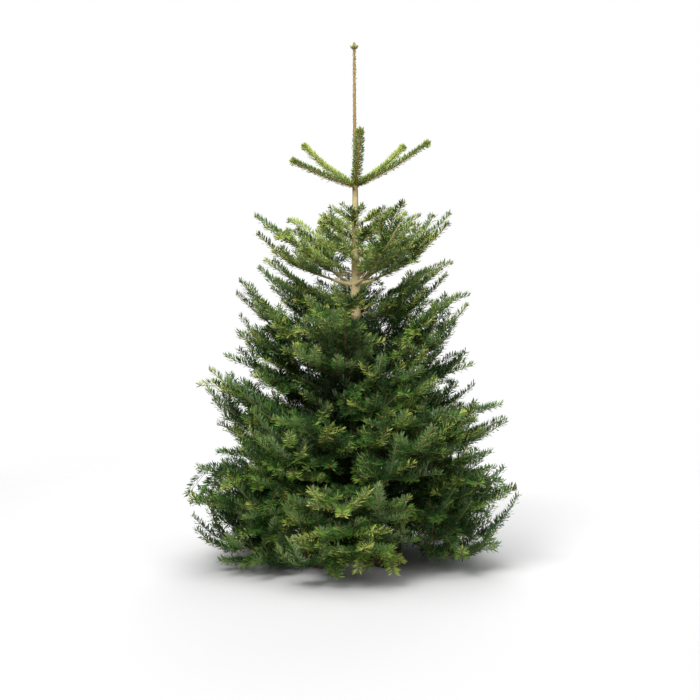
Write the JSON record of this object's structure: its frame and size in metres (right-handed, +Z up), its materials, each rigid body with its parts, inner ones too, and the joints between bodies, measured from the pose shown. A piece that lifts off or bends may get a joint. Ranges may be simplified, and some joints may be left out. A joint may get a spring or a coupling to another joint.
{
  "type": "cut nordmann fir christmas tree on a wooden cross stand",
  "caption": "Whole undecorated fir tree, wide bushy crown in flat tiers under a long bare leading shoot, standing on a plain wooden cross.",
  "frame": {"origin": "middle of the cross stand's flat underside, on the floor", "axes": "+Z up along the trunk to the leading shoot, +X to the right seen from the front, -Y towards the front"},
  "size_m": [1.1422, 1.1507, 1.75],
  "materials": {
    "bark": "rough grey-tan bark with resin blisters",
    "foliage": "glossy dark green needles, silvery beneath",
    "stand_timber": "sawn bare pine"
  },
  "bodies": {
    "root": {"stand_lower_plank": "stand_timber", "stand_upper_plank": "stand_timber", "trunk": "bark", "top_shoot_1": "foliage", "top_shoot_2": "foliage", "top_shoot_3": "foliage", "top_shoot_4": "foliage", "top_shoot_5": "foliage", "upper_bough_1": "bark", "upper_spray_1": "foliage", "upper_bough_2": "bark", "upper_spray_2": "foliage", "upper_bough_3": "bark", "upper_spray_3": "foliage", "upper_bough_4": "bark", "upper_spray_4": "foliage", "upper_bough_5": "bark", "upper_spray_5": "foliage", "upper_inner_spray_1": "foliage", "upper_inner_spray_2": "foliage", "upper_inner_spray_3": "foliage", "upper_inner_spray_4": "foliage", "middle_bough_1": "bark", "middle_spray_1": "foliage", "middle_bough_2": "bark", "middle_spray_2": "foliage", "middle_bough_3": "bark", "middle_spray_3": "foliage", "middle_bough_4": "bark", "middle_spray_4": "foliage", "middle_bough_5": "bark", "middle_spray_5": "foliage", "middle_inner_spray_1": "foliage", "middle_inner_spray_2": "foliage", "middle_inner_spray_3": "foliage", "middle_inner_spray_4": "foliage", "lower_bough_1": "bark", "lower_spray_1": "foliage", "lower_bough_2": "bark", "lower_spray_2": "foliage", "lower_bough_3": "bark", "lower_spray_3": "foliage", "lower_bough_4": "bark", "lower_spray_4": "foliage", "lower_bough_5": "bark", "lower_spray_5": "foliage", "lower_bough_6": "bark", "lower_spray_6": "foliage", "bottom_bough_1": "bark", "bottom_spray_1": "foliage", "bottom_bough_2": "bark", "bottom_spray_2": "foliage", "bottom_bough_3": "bark", "bottom_spray_3": "foliage", "bottom_bough_4": "bark", "bottom_spray_4": "foliage", "bottom_bough_5": "bark", "bottom_spray_5": "foliage", "bottom_bough_6": "bark", "bottom_spray_6": "foliage"}
  },
  "joints": []
}
